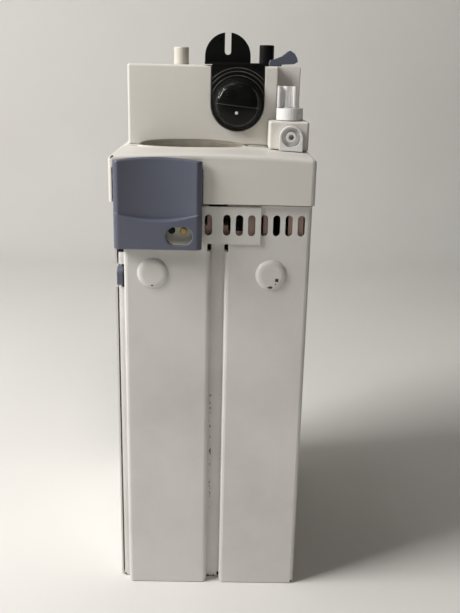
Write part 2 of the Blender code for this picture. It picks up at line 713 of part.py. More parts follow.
def make_port():
    left, right = PORT_BLOCK
    outline = crown_line(left, right, GAP) + [(right, PORT_TOP), (left, PORT_TOP)]
    block = flat("port_block", [outline], "XZ", PORT_FRONT, STEP_FACE - GAP, "cream_plastic")
    add_bevel(block, 0.0008, 2)
    pillar_low, pillar_high = (0.0180, BLOCK_FRONT - GAP, 0.1700), (STEP_X + GAP, -0.0100, 0.2000)
    boolean(block, box("pillar_clearance", pillar_low, pillar_high))
    boolean(block, rod("plug_bore", 0.0024, (PLUG_X, PLUG_Y, PORT_TOP), -0.0035, 0.0020))

    half = 0.00445
    arch = arc((PORT_X, PORT_Z - 0.0002), half, 0, 180, 16)
    outline = crown_line(PORT_X - half, PORT_X + half, GAP, 3) + arch
    luer = flat("luer_port", [outline], "XZ", -0.0346, PORT_FRONT - GAP, "white_plastic")
    recess = [(0.0037, 0.002), (0.0036, -0.0015), (0.0021, -0.0015), (0.0019, 0.002)]
    boolean(luer, turned("luer_recess", recess, (PORT_X, -0.0346, PORT_Z), "-Y"))
    boolean(luer, rod("luer_bore", 0.0010, (PORT_X, -0.0346, PORT_Z), -0.0040, 0.0020, "-Y", steps=12))

    collar_low, collar_high = PORT_TOP + GAP, 0.1953
    outlines = [circle((COLLAR_X, PLUG_Y), 0.00515, 28), circle((PLUG_X, PLUG_Y), 0.0024, 20)]
    smooth(flat("port_collar", outlines, "XY", collar_low, collar_high, "white_plastic"))

    grip_low, grip_high = collar_high + GAP, 0.2034
    grip = flat("port_grip", [grip_section()], "XY", grip_low, grip_high, "white_plastic")
    set_origin(grip, (0.0, 0.0, 0.0))
    grip.location = (PLUG_X, PLUG_Y, 0.0)
    shank = rod("grip_shank", 0.0020, (PLUG_X, PLUG_Y, 0.0), PORT_TOP - 0.0030, grip_low + 0.0010)
    boolean(grip, shank, "UNION")


def grip_section():
    """Two thin ribs at the ends of a web that swells to a round barrel, about the plug's axis."""
    half, rib, web, rib_depth, barrel = 0.00345, 0.0007, 0.0004, 0.0022, 0.0012
    side = math.degrees(math.asin(web / barrel))
    front = [(-half, -rib_depth), (-half + rib, -rib_depth), (-half + rib, -web)]
    front += arc((0.0, 0.0), barrel, 180 + side, 360 - side, 6)
    front += [(half - rib, -web), (half - rib, -rib_depth), (half, -rib_depth)]
    back = [(-x, -y) for x, y in front]
    return front + back


# ---- release tab and latch ----

def ledge(x):
    """Height of the thumb ledge, lowest in the middle of the tab."""
    middle = (TAB_LEFT + TAB_RIGHT) / 2
    half = (TAB_RIGHT - TAB_LEFT) / 2
    return LEDGE_SIDE - LEDGE_SAG * (1 - ((x - middle) / half) ** 2)


def make_scoop():
    """The thumb scoop: a hollow across the tab, above the ledge."""
    middle = (TAB_LEFT + TAB_RIGHT) / 2
    half = (TAB_RIGHT - TAB_LEFT) / 2 - 0.0006
    plan = []
    for index in range(13):
        across = -1 + 2 * index / 12
        plan.append((middle + half * across, TAB_FRONT - 0.0003 + (SCOOP_DEPTH + 0.0003) * (1 - across ** 2)))
    plan += [(middle + half, TAB_FRONT - 0.0020), (middle - half, TAB_FRONT - 0.0020)]
    scoop = flat("scoop", [plan], "XY", 0.1500, 0.1850)
    below = []
    for index in range(13):
        x = TAB_LEFT - 0.002 + (TAB_RIGHT - TAB_LEFT + 0.004) * index / 12
        below.append((x, ledge(x)))
    below += [(TAB_RIGHT + 0.002, 0.1900), (TAB_LEFT - 0.002, 0.1900)]
    boolean(scoop, flat("above_ledge", [below], "XZ", -0.0650, -0.0500), "INTERSECT")
    return scoop


def make_tab():
    middle = (TAB_LEFT + TAB_RIGHT) / 2
    half = (TAB_RIGHT - TAB_LEFT) / 2
    arch = []
    for index in range(9):
        across = 1 - 2 * index / 8
        arch.append((middle + half * across, TAB_TOP + TAB_ARCH * (1 - across ** 2)))
    outline = [(TAB_LEFT, TAB_BOTTOM), (TAB_RIGHT, TAB_BOTTOM)] + arch
    tab = flat("release_tab", [outline], "XZ", TAB_FRONT, TAB_BACK, "blue_plastic")
    set_origin(tab, (0.0, *TAB_PIVOT))
    add_bevel(tab, 0.0008, 2)
    boolean(tab, make_scoop())
    window = obround(WINDOW, WINDOW_SIZE, 10)
    boolean(tab, flat("tab_window", [window], "XZ", -0.0600, -0.0500))
    y, z = TAB_PIVOT
    for index, x in enumerate((-0.0335, -0.0090), start=1):
        lug_side = arc((y, z), 0.0017, -90, 90, 8)
        lug_side += [(TAB_BACK - 0.0003, z + 0.0017), (TAB_BACK - 0.0003, z - 0.0017)]
        eye = circle((y, z), 0.0012, 12)
        boolean(tab, flat(f"hinge_lug_{index}", [lug_side, eye], "YZ", x, x + 0.0025), "UNION")
    rod("tab_pivot_pin", 0.0009, (0.0, y, z), -0.0367, TAB_RIGHT + 0.0006, "X", "steel", 12)
    make_tab_spring(y, z)


def make_tab_spring(y, z):
    """A torsion spring of four turns on the hinge pin, with two short legs."""
    turns, per_turn, radius, pitch = 4, 10, 0.00155, 0.0007
    start_x = -0.0215
    route = [(start_x, y + radius, z - 0.0030)]
    for index in range(turns * per_turn + per_turn // 2 + 1):
        angle = 2 * math.pi * index / per_turn
        x = start_x + pitch * index / per_turn
        route.append((x, y + radius * math.cos(angle), z + radius * math.sin(angle)))
    route.append((route[-1][0], y - radius, z - 0.0030))
    tube("tab_spring", route, 0.00024, "steel", 1)


def make_latch():
    y_front, y_inside = TAB_BACK + GAP, GROOVE_FLOOR + SHEET + GAP
    arm_side = [
        (y_front, 0.1560), (y_front, 0.1446), (y_inside, 0.1446), (y_inside, HOOK_Z[0]),
        (y_inside + 0.0015, HOOK_Z[0]), (y_inside + 0.0015, 0.1465), (y_front + 0.0015, 0.1465),
        (y_front + 0.0015, 0.1560),
    ]
    arm = flat("latch_arm", [arm_side], "YZ", -0.0345, -0.0336, "steel")
    set_origin(arm, (0.0, *TAB_PIVOT))
    back = y_inside - GAP
    low, high = HOOK_Z
    hook_side = [
        (back, high), (-0.0486, high), (-0.05075, high - 0.0014), (-0.05075, low + 0.0008),
        (-0.0500, low), (back, low),
    ]
    hook = flat("latch_hook", [hook_side], "YZ", -0.0359, -0.0337, "blue_plastic")
    set_origin(hook, (0.0, *TAB_PIVOT))
    add_bevel(hook, 0.0002, 1)
    plate_y = (CASE_FRONT - 0.0007, CASE_FRONT - GAP)
    flat("window_plate", [rectangle((-0.0185, 0.1462), (-0.0062, 0.1565))], "XZ", *plate_y, "white_plastic")
    stud = [(0, 0.0008), (0.0010, 0.0008), (0.0013, 0.0004), (0.0013, 0.0), (0, 0.0)]
    front = plate_y[0] - GAP
    turned("brass_stud", stud, (-0.0107, front, 0.1520), "-Y", "brass", 16)
    turned("dark_rivet", stud, (-0.0150, front, 0.1522), "-Y", "black_plastic", 16)


# ---- inside ----

def make_chassis():
    floor_low, wall_x = 0.0023, 0.0330
    thickness = 0.0012
    section = [
        (-0.0310, floor_low), (wall_x + thickness, floor_low), (wall_x + thickness, 0.1500),
        (wall_x, 0.1500), (wall_x, floor_low + thickness), (-0.0310, floor_low + thickness),
    ]
    chassis = flat("chassis_frame", [section], "XZ", -0.0440, 0.0520, "aluminium")
    boolean(chassis, box("connector_clearance", (-0.0225, 0.0090, 0.0010), (0.0225, 0.0230, 0.0060)))
    for index, (x, y) in enumerate(REAR_SCREWS, start=1):
        boolean(chassis, rod(f"chassis_hole_{index}", 0.0016, (x, y, 0.0), 0.0010, 0.0060, steps=12))


def make_insulation():
    """The brown liner behind the vents, with cut-outs where cables and air pass."""
    outline = rectangle((-0.0300, 0.1494), (0.0335, 0.1597))
    cutouts = [
        rectangle((-0.0048, 0.1540), (-0.0020, 0.1590)),
        [
            (0.0028, 0.1540), (0.0057, 0.1540), (0.0057, 0.1519),
            (0.0126, 0.1519), (0.0126, 0.1590), (0.0028, 0.1590),
        ],
        rectangle((0.0160, 0.1500), (0.0187, 0.1590)),
        rectangle((0.0215, 0.1500), (0.0279, 0.1590)),
    ]
    y = CASE_FRONT + SHEET + GAP
    flat("insulation_liner", [outline] + cutouts, "XZ", y, y + 0.0008, "insulation")


def make_boards():
    main_holes = [circle((y, z), 0.0016, 10) for y in (-0.034, 0.036) for z in (0.012, 0.146)]
    main_outline = rectangle((-0.0380, 0.0080), (0.0400, 0.1500))
    flat("main_board", [main_outline] + main_holes, "YZ", 0.0280, 0.0296, "circuit_board")
    side_holes = [circle((y, z), 0.0016, 10) for y in (-0.032, 0.034) for z in (0.012, 0.114)]
    side_outline = rectangle((-0.0360, 0.0080), (0.0380, 0.1180))
    flat("measuring_board", [side_outline] + side_holes, "YZ", -0.0276, -0.0260, "circuit_board")
    strip = [
        (-0.0125, 0.0125), (0.0200, 0.0125), (0.0262, 0.0190), (0.0262, 0.0330),
        (0.0268, 0.0330), (0.0268, 0.0188), (0.0203, 0.0123), (-0.0125, 0.0123),
    ]
    flat("ribbon_cable", [strip], "XZ", 0.0110, 0.0210, "rubber")


def make_gas_bench():
    box("gas_bench", (-0.0140, -0.0380, 0.0200), (0.0140, -0.0140, 0.0840), "aluminium", 0.0010)
    can = [
        (0, 0.0140), (0.0062, 0.0140), (0.0068, 0.0134), (0.0068, 0.0010),
        (0.0080, 0.0010), (0.0080, 0.0), (0, 0.0),
    ]
    turned("infrared_detector", can, (0.0, -0.0260, 0.0843), "Z", "steel", 20)
    sensor = [(0, 0.0240), (0.0090, 0.0240), (0.0100, 0.0230), (0.0100, 0.0), (0, 0.0)]
    turned("oxygen_sensor", sensor, (0.0, -0.0260, 0.1040), "Z", "aluminium", 24)


def make_pump():
    x, y = PUMP_AXIS
    motor_top = PUMP_BOTTOM + 0.0280
    can = [
        (0.0032, 0.0280), (0.0105, 0.0280), (0.0110, 0.0275), (0.0110, 0.0005), (0.0105, 0.0),
        (0.0032, 0.0),
    ]
    turned("pump_motor", can, (x, y, PUMP_BOTTOM), "Z", "steel", 28)
    head_low = (x - 0.0120, y - 0.0120, motor_top + GAP)
    head_high = (x + 0.0120, y + 0.0120, motor_top + 0.0180)
    head = box("pump_head", head_low, head_high, "black_plastic", 0.0008)
    boolean(head, rod("crank_space", 0.0075, (x, y, motor_top), -0.0020, 0.0120, steps=24))
    boolean(head, rod("head_port", 0.0015, (x, y, motor_top), 0.0100, 0.0220, steps=10))
    shaft = rod("pump_shaft", 0.0015, (x, y, motor_top), -0.0270, 0.0060, material="steel")
    boolean(shaft, rod("crank_disc", 0.0035, (x + 0.0020, y, motor_top), 0.0020, 0.0070, steps=20), "UNION")


def make_valves():
    box("valve_manifold", (-0.0160, 0.0000, 0.0700), (0.0160, 0.0200, 0.0840), "aluminium", 0.0008)
    valve = [(0, 0.0200), (0.0030, 0.0200), (0.0030, 0.0170), (0.0046, 0.0170), (0.0046, 0.0), (0, 0.0)]
    for index in range(3):
        x = -0.0100 + index * 0.0100
        turned(f"solenoid_valve_{index + 1}", valve, (x, 0.0100, 0.0843), "Z", "black_plastic", 20)
    half_filter = [
        (0, 0.0220), (0.0018, 0.0220), (0.0018, 0.0150), (0.0085, 0.0130), (0.0085, 0.0070),
        (0.0018, 0.0050), (0.0018, 0.0), (0, 0.0),
    ]
    turned("inlet_filter", half_filter, (0.0086, 0.0200, 0.1200), "Z", "clear_plastic", 24)
    sample = [
        (0.0086, 0.0200, 0.1423), (0.0088, 0.0200, 0.1560), (0.0086, 0.0150, 0.1750),
        (0.0086, 0.0086, 0.1860), (0.0086, 0.0080, 0.1930), (0.0086, 0.0060, 0.1961),
        (0.0086, 0.0033, 0.1961),
    ]
    tube("sample_tube", smooth_route(sample, 0.0045), 0.0015, "tubing", 1)
    exhaust = [
        (-0.0140, -0.0080, 0.2007), (-0.0140, -0.0080, 0.1940), (-0.0120, 0.0060, 0.1800),
        (-0.0120, 0.0140, 0.1600), (-0.0130, 0.0240, 0.1300), (-0.0130, 0.0260, 0.1000),
        (-0.0130, 0.0240, 0.0800), (-0.0130, 0.0203, 0.0770),
    ]
    tube("exhaust_tube", smooth_route(exhaust, 0.0060), 0.0015, "tubing", 1)


def make_fan():
    x, y, z = FAN_CENTRE
    half = FAN_SIZE / 2
    frame_outline = rounded(rectangle((x - half, z - half), (x + half, z + half)), [0.0025] * 4)
    bore = circle((x, z), 0.0186, 32)
    front, back = y - FAN_DEPTH / 2, y + FAN_DEPTH / 2
    frame = flat("fan_frame", [frame_outline, bore], "XZ", front, back, "black_plastic")
    struts = circle((x, z), 0.0085, 18)
    boolean(frame, flat("fan_motor_seat", [struts], "XZ", front, front + 0.0014), "UNION")
    for index in range(3):
        strut = box(f"fan_strut_{index + 1}", (-0.0010, -0.0007, 0.0070), (0.0010, 0.0007, 0.0195))
        strut.data.transform(Matrix.Translation(strut.location))
        strut.location = (x, front + 0.0007, z)
        strut.rotation_euler = (0.0, math.radians(120 * index), 0.0)
        boolean(frame, strut, "UNION")
    hub = rod("fan_rotor", 0.0088, (x, y, z), -0.0044, 0.0032, "-Y", "black_plastic", 24)
    for index in range(7):
        blade = box(f"fan_blade_{index + 1}", (-0.0045, -0.0005, 0.0070), (0.0045, 0.0005, 0.0180))
        blade.data.transform(Matrix.Rotation(math.radians(35), 4, "Z") @ Matrix.Translation(blade.location))
        blade.location = (x, y + 0.0006, z)
        blade.rotation_euler = (0.0, math.radians(360 * index / 7), 0.0)
        boolean(hub, blade, "UNION")


def main():
    make_casing()
    make_side_cover()
    make_vent_plate()
    make_rear_end()
    make_bezel()
    make_block()
    make_stub("exhaust_stub", 0.2171, "cream_plastic")
    make_stub("inlet_stub", 0.2189, "black_plastic")
    make_trap()
    make_lever()
    make_port()
    make_tab()
    make_latch()
    make_chassis()
    make_insulation()
    make_boards()
    make_gas_bench()
    make_pump()
    make_valves()
    make_fan()


main()
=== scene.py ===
"""Looks of the plug-in gas module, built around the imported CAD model.

Metres, +Z up. The module stands on its rear end, and its grooved side faces -Y.
"""

import json
import math

import bmesh
import bpy
from mathutils import Matrix, Vector


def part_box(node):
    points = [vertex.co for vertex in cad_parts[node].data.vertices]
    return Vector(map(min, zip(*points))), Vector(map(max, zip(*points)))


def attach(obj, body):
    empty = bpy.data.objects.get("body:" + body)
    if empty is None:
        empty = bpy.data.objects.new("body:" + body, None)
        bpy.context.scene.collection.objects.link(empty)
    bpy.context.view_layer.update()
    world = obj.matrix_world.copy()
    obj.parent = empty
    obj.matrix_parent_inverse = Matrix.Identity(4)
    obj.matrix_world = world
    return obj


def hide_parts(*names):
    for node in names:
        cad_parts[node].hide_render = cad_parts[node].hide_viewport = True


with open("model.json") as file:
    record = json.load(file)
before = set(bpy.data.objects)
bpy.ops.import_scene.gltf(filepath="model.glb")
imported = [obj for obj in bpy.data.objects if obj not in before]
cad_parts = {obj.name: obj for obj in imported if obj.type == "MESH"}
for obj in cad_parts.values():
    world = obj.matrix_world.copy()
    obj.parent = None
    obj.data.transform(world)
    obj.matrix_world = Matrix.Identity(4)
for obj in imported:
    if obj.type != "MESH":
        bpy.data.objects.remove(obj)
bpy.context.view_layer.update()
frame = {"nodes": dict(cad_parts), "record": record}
SCENE = bpy.context.scene


# ---- shader helpers ----

def add_node(tree, kind, inputs=None, **settings):
    """A shader node. Each input is a value to set or a socket to link."""
    made = tree.nodes.new(kind)
    for name, value in settings.items():
        setattr(made, name, value)
    for name, value in (inputs or {}).items():
        if isinstance(value, bpy.types.NodeSocket):
            tree.links.new(value, made.inputs[name])
        else:
            made.inputs[name].default_value = value
    return made


def places(tree):
    return add_node(tree, "ShaderNodeTexCoord").outputs["Object"]


def noise(tree, point, scale, detail=3.0, roughness=0.55):
    inputs = {"Vector": point, "Scale": scale, "Detail": detail, "Roughness": roughness}
    return add_node(tree, "ShaderNodeTexNoise", inputs).outputs["Fac"]


def stretched(tree, point, stretch):
    """The same places, scaled along each axis, for a texture that runs along one of them."""
    return add_node(tree, "ShaderNodeMapping", {"Vector": point, "Scale": stretch}).outputs["Vector"]


def band(tree, value, low, high, first=0.0, last=1.0):
    """Maps the range low to high of a value to the range first to last, and clamps it."""
    inputs = {"Value": value, "From Min": low, "From Max": high, "To Min": first, "To Max": last}
    return add_node(tree, "ShaderNodeMapRange", inputs).outputs["Result"]


def combine(tree, operation, first, second):
    return add_node(tree, "ShaderNodeMath", {0: first, 1: second}, operation=operation).outputs[0]


def mix(tree, factor, first, second):
    """A colour between two colours."""
    made = add_node(tree, "ShaderNodeMix", data_type="RGBA")
    for socket, value in ((made.inputs[0], factor), (made.inputs[6], first), (made.inputs[7], second)):
        if isinstance(value, bpy.types.NodeSocket):
            tree.links.new(value, socket)
        elif socket == made.inputs[0]:
            socket.default_value = value
        else:
            socket.default_value = (*value, 1.0)
    return made.outputs[2]


def bump(tree, height, distance, strength=1.0, normal=None):
    inputs = {"Height": height, "Distance": distance, "Strength": strength}
    if normal is not None:
        inputs["Normal"] = normal
    return add_node(tree, "ShaderNodeBump", inputs).outputs["Normal"]


def edges(tree, radius, low=0.02, high=0.22):
    """How near a point is to a sharp edge, from 0 to 1."""
    rounded = add_node(tree, "ShaderNodeBevel", {"Radius": radius}, samples=4).outputs["Normal"]
    flat = add_node(tree, "ShaderNodeNewGeometry").outputs["Normal"]
    both = {0: rounded, 1: flat}
    agreement = add_node(tree, "ShaderNodeVectorMath", both, operation="DOT_PRODUCT").outputs["Value"]
    return band(tree, agreement, 1.0 - low, 1.0 - high)


def chips(tree, point, spots):
    """Where paint is missing, from 0 to 1: a ragged patch at each spot of (place, radius)."""
    wander = 0.0012    # how far the noise moves a point, from none to this along each axis
    drift = add_node(tree, "ShaderNodeTexNoise", {"Vector": point, "Scale": 1500.0}).outputs["Color"]
    inputs = {0: drift, 1: (wander, wander, wander)}
    shift = add_node(tree, "ShaderNodeVectorMath", inputs, operation="MULTIPLY").outputs[0]
    moved = add_node(tree, "ShaderNodeVectorMath", {0: point, 1: shift}, operation="ADD").outputs[0]
    total = None
    for place, radius in spots:
        inputs = {0: moved, 1: Vector(place) + Vector((wander, wander, wander)) / 2}
        away = add_node(tree, "ShaderNodeVectorMath", inputs, operation="DISTANCE").outputs["Value"]
        spot = band(tree, away, radius, radius * 0.75)
        total = spot if total is None else combine(tree, "MAXIMUM", total, spot)
    return total


def new_material(name, **constants):
    """A Principled material, with its constant values set on the shader itself."""
    material = bpy.data.materials.new(name)
    material.use_nodes = True
    shader = material.node_tree.nodes["Principled BSDF"]
    for key, value in constants.items():
        shader.inputs[key.replace("_", " ")].default_value = value
    return material, material.node_tree, shader


def link(tree, value, socket):
    tree.links.new(value, socket)


# ---- materials ----

BARE_PATCH = (0.030, 0.028, 0.026)
RECESS_TOP = 0.18022    # height of the bezel's top beside the finger recess
BUMP_CHIPS = [
    ((-0.0224, -0.0532, 0.1309), 0.00045),
    ((0.0243, -0.0532, 0.1339), 0.00085),
    ((0.0220, -0.0532, 0.1310), 0.00070),
    ((0.0216, -0.0532, 0.1309), 0.00060),
    ((0.0239, -0.0532, 0.1324), 0.00035),
]
# Painted shade: two dark spots at the bezel's top-left corner stand for the shaded inside of a small hole.
BEZEL_HOLE_SHADE = [
    ((-0.0362, -0.0534, 0.1786), 0.0006),
    ((-0.0366, -0.0538, 0.1783), 0.0005),
]
FOOT_CHIPS = [
    ((0.0001, -0.0480, 0.0003), 0.00070),
    ((0.0012, -0.0480, 0.0001), 0.00050),
    ((0.0026, -0.0480, 0.0003), 0.00060),
    ((0.0046, -0.0485, 0.0014), 0.00110),
    ((-0.0352, -0.0480, 0.0004), 0.00065),
    ((-0.0343, -0.0480, 0.0001), 0.00045),
    ((0.0355, -0.0520, 0.0008), 0.00060),
]


def powder_coat(name, spots=(), worn_groove=False, grain=1.0):
    """Off-white powder coat on sheet steel, with an orange-peel surface and chips down to the metal."""
    colour, dirty = (0.70, 0.685, 0.665), (0.60, 0.585, 0.56)
    material, tree, shader = new_material(name, Metallic=0.0)
    point = places(tree)
    shade = mix(tree, band(tree, noise(tree, point, 24.0, 4.0), 0.42, 0.75), colour, dirty)
    streaks = noise(tree, stretched(tree, point, (1.0, 1.0, 0.12)), 260.0, 3.0)
    shade = mix(tree, band(tree, streaks, 0.60, 0.85, 0.0, 0.25), shade, dirty)
    edge = edges(tree, 0.0006)
    ragged = band(tree, noise(tree, point, 700.0, 4.0), 0.67, 0.71)
    bare = combine(tree, "MULTIPLY", edge, ragged)
    if spots:
        bare = combine(tree, "MAXIMUM", bare, chips(tree, point, spots))
    if worn_groove:
        bare = combine(tree, "MAXIMUM", bare, groove_wear(tree, point))
    link(tree, mix(tree, bare, shade, BARE_PATCH), shader.inputs["Base Color"])
    rough = band(tree, noise(tree, point, 90.0), 0.3, 0.7, 0.42, 0.56)
    link(tree, rough, shader.inputs["Roughness"])
    peel = combine(tree, "ADD", noise(tree, point, 1900.0, 2.0), combine(tree, "MULTIPLY", bare, -2.0))
    link(tree, bump(tree, peel, 0.000035 * grain, 0.55), shader.inputs["Normal"])
    return material


def groove_wear(tree, point):
    """Fine specks that the guide rail has rubbed off along both sides of the centre groove's floor."""
    parts = add_node(tree, "ShaderNodeSeparateXYZ", {"Vector": point}).outputs
    x, z = parts["X"], parts["Z"]
    left = combine(tree, "MULTIPLY", band(tree, x, -0.0006, -0.0002), band(tree, x, 0.0016, 0.0004))
    right = combine(tree, "MULTIPLY", band(tree, x, 0.0026, 0.0040, 0.0, 0.9), band(tree, x, 0.0048, 0.0044))
    along = combine(tree, "MULTIPLY", band(tree, z, 0.004, 0.040, 0.5, 1.0), band(tree, z, 0.100, 0.084))
    deep = band(tree, parts["Y"], -0.0498, -0.0490)
    sides = combine(tree, "MAXIMUM", left, right)
    area = combine(tree, "MULTIPLY", combine(tree, "MULTIPLY", sides, along), deep)
    limit = band(tree, area, 0.0, 1.0, 1.2, 0.55)
    specks = noise(tree, stretched(tree, point, (1.0, 1.0, 0.5)), 1500.0, 4.0, 0.7)
    return band(tree, combine(tree, "SUBTRACT", specks, limit), 0.0, 0.04)


def plastic(
        name, colour, shadow, roughness=(0.34, 0.46), grain=0.00002,
        spots=(), edge_highlight_gain=0.0, edge=0.0004, gloss=0.5):
    """Satin moulded plastic with a fine spark-eroded grain, soft edges, colour that varies a little, and,
    where asked, a painted highlight along its sharp edges.
    """
    material, tree, shader = new_material(name, Metallic=0.0, Specular_IOR_Level=gloss)
    point = places(tree)
    shade = mix(tree, band(tree, noise(tree, point, 30.0, 4.0), 0.40, 0.80), colour, shadow)
    # Painted highlight: where asked, the colour turns paler near sharp edges.
    if edge_highlight_gain:
        painted_highlight = tuple(min(1.0, channel * (1.0 + edge_highlight_gain)) for channel in colour)
        shade = mix(tree, band(tree, edges(tree, 0.0005), 0.0, 1.0, 0.0, 0.8), shade, painted_highlight)
    # Dark spots in the colour of bare metal; on the bezel they are painted shade of a small hole.
    if spots:
        shade = mix(tree, chips(tree, point, spots), shade, BARE_PATCH)
    link(tree, shade, shader.inputs["Base Color"])
    link(tree, band(tree, noise(tree, point, 120.0), 0.3, 0.7, *roughness), shader.inputs["Roughness"])
    soft = add_node(tree, "ShaderNodeBevel", {"Radius": edge}, samples=4).outputs["Normal"]
    link(tree, bump(tree, noise(tree, point, 2600.0, 2.0), grain, 0.5, soft), shader.inputs["Normal"])
    return material


def metal(name, colour, roughness=(0.25, 0.40), scratch=(1.0, 1.0, 8.0)):
    material, tree, shader = new_material(name, Metallic=1.0)
    point = places(tree)
    dull = tuple(channel * 0.75 for channel in colour)
    shade = mix(tree, band(tree, noise(tree, point, 140.0, 4.0), 0.35, 0.75), colour, dull)
    link(tree, shade, shader.inputs["Base Color"])
    lines = noise(tree, stretched(tree, point, scratch), 900.0, 3.0)
    link(tree, band(tree, lines, 0.3, 0.7, *roughness), shader.inputs["Roughness"])
    link(tree, bump(tree, lines, 0.00001, 0.4), shader.inputs["Normal"])
    return material


def clear_plastic(name):
    """Thin clear plastic: light goes straight through, with reflections that grow towards the rim."""
    material, tree, shader = new_material(name, Metallic=0.0, IOR=1.52)
    point = places(tree)
    cloudy = band(tree, noise(tree, point, 160.0), 0.4, 0.7)
    tint = mix(tree, cloudy, (0.90, 0.91, 0.90), (0.80, 0.82, 0.81))
    through = add_node(tree, "ShaderNodeBsdfTransparent", {"Color": tint}).outputs[0]
    link(tree, band(tree, noise(tree, point, 420.0), 0.45, 0.75, 0.02, 0.08), shader.inputs["Roughness"])
    shader.inputs["Base Color"].default_value = (0.03, 0.03, 0.03, 1.0)
    shine = add_node(tree, "ShaderNodeLayerWeight", {"Blend": 0.25}).outputs["Fresnel"]
    share = band(tree, shine, 0.0, 1.0, 0.16, 1.0)
    both = add_node(tree, "ShaderNodeMixShader", {0: share, 1: through, 2: shader.outputs[0]}).outputs[0]
    link(tree, both, tree.nodes["Material Output"].inputs["Surface"])
    return material


def circuit_board(name):
    """Green solder mask with copper tracks showing through as lighter lines."""
    material, tree, shader = new_material(name, Metallic=0.0)
    point = places(tree)
    tracks = add_node(tree, "ShaderNodeTexBrick", {"Vector": point, "Scale": 160.0, "Mortar Size": 0.04})
    shade = mix(tree, tracks.outputs["Fac"], (0.02, 0.12, 0.06), (0.05, 0.24, 0.11))
    link(tree, shade, shader.inputs["Base Color"])
    link(tree, band(tree, noise(tree, point, 300.0), 0.3, 0.7, 0.30, 0.50), shader.inputs["Roughness"])
    return material


def recess_plastic_painted_shade(name, colour, deep):
    """The bezel's plastic in its finger recess, with painted shade: darker towards the bottom, and in random
    patches.
    """
    material, tree, shader = new_material(name, Metallic=0.0, Roughness=0.5)
    point = places(tree)
    height = add_node(tree, "ShaderNodeSeparateXYZ", {"Vector": point}).outputs["Z"]
    # Painted shade: the colour turns to the second, darker colour towards the recess's bottom, and again in
    # random patches.
    shade = mix(tree, band(tree, height, RECESS_TOP - 0.0040, RECESS_TOP - 0.0005), deep, colour)
    patchy_painted_shade = mix(tree, band(tree, noise(tree, point, 180.0, 4.0), 0.45, 0.75, 0.0, 0.5), shade, deep)
    link(tree, patchy_painted_shade, shader.inputs["Base Color"])
    link(tree, bump(tree, noise(tree, point, 2600.0, 2.0), 0.00002, 0.5), shader.inputs["Normal"])
    return material


CREAM, CREAM_SHADOW = (0.72, 0.69, 0.615), (0.66, 0.63, 0.555)
MATERIALS = {
    "powder_coat": powder_coat("powder_coat", BUMP_CHIPS + FOOT_CHIPS, worn_groove=True),
    "vent_coat": powder_coat("vent_coat", grain=2.2),
    "cream_plastic": plastic("cream_plastic", CREAM, CREAM_SHADOW, edge_highlight_gain=0.12),
    # The block's plastic is a paler copy of the bezel's cream: painted light, for the block's more brightly
    # lit front.
    "block_plastic_painted_light": plastic(
        "block_plastic_painted_light", (0.80, 0.775, 0.725), (0.76, 0.735, 0.68), edge_highlight_gain=0.10, edge=0.0007),
    "bezel_plastic": plastic(
        "bezel_plastic", (0.73, 0.705, 0.66), (0.69, 0.665, 0.62), spots=BEZEL_HOLE_SHADE, edge_highlight_gain=0.10),
    # The recess's second colour is painted shade.
    "recess_plastic_painted_shade": recess_plastic_painted_shade("recess_plastic_painted_shade", (0.76, 0.735, 0.68), (0.46, 0.43, 0.39)),
    "blue_plastic": plastic(
        "blue_plastic", (0.115, 0.125, 0.170), (0.098, 0.107, 0.148), (0.36, 0.48), edge_highlight_gain=0.35),
    "black_plastic": plastic(
        "black_plastic", (0.006, 0.006, 0.006), (0.010, 0.010, 0.010), (0.26, 0.38), 0.000008, gloss=0.22),
    "white_plastic": plastic(
        "white_plastic", (0.88, 0.875, 0.875), (0.82, 0.81, 0.81), (0.30, 0.40), 0.000006),
    "gate_mark": plastic("gate_mark", (0.85, 0.84, 0.80), (0.75, 0.74, 0.70), (0.25, 0.35), 0.000006),
    # Grey for the clear dome's thin ridge: a painted highlight along it.
    "mould_line": plastic("mould_line", (0.24, 0.24, 0.22), (0.16, 0.16, 0.15), (0.15, 0.25), 0.000006),
    # Grey for the cartridge's face rings: a painted highlight of their edges.
    "ring_plastic_painted_highlight": plastic("ring_plastic_painted_highlight", (0.22, 0.21, 0.19), (0.12, 0.115, 0.10), (0.15, 0.25), 0.000006),
    "plate_coat": plastic("plate_coat", (0.76, 0.75, 0.64), (0.66, 0.65, 0.55), (0.40, 0.55), 0.00003),
    "clear_plastic": clear_plastic("clear_plastic"),
    "rubber": plastic("rubber", (0.020, 0.020, 0.020), (0.03, 0.03, 0.03), (0.55, 0.75), 0.00003),
    "tubing": plastic("tubing", (0.70, 0.70, 0.66), (0.60, 0.60, 0.56), (0.25, 0.40), 0.00001),
    "steel": metal("steel", (0.52, 0.52, 0.51)),
    # Near-black steel for the latch arm: painted shade, so that the arm reads as the shaded slot it sits in.
    "dark_steel_painted_shade": metal("dark_steel_painted_shade", (0.020, 0.020, 0.022)),
    "aluminium": metal("aluminium", (0.66, 0.66, 0.67), (0.30, 0.45)),
    "brass": metal("brass", (0.62, 0.43, 0.16), (0.22, 0.38)),
    "insulation": plastic("insulation", (0.42, 0.30, 0.26), (0.34, 0.24, 0.205), (0.70, 0.90), 0.00006),
    "circuit_board": circuit_board("circuit_board"),
}


# ---- pieces modelled finer than the CAD ----

def lay_faces(shape, rows, closed=False):
    """Makes quads between rows of points and returns the rows' vertices. A closed row joins its ends too."""
    made = [[shape.verts.new(point) for point in row] for row in rows]
    count = len(made[0])
    for low, high in zip(made, made[1:]):
        for index in range(count if closed else count - 1):
            after = (index + 1) % count
            shape.faces.new((low[index], low[after], high[after], high[index]))
    return made


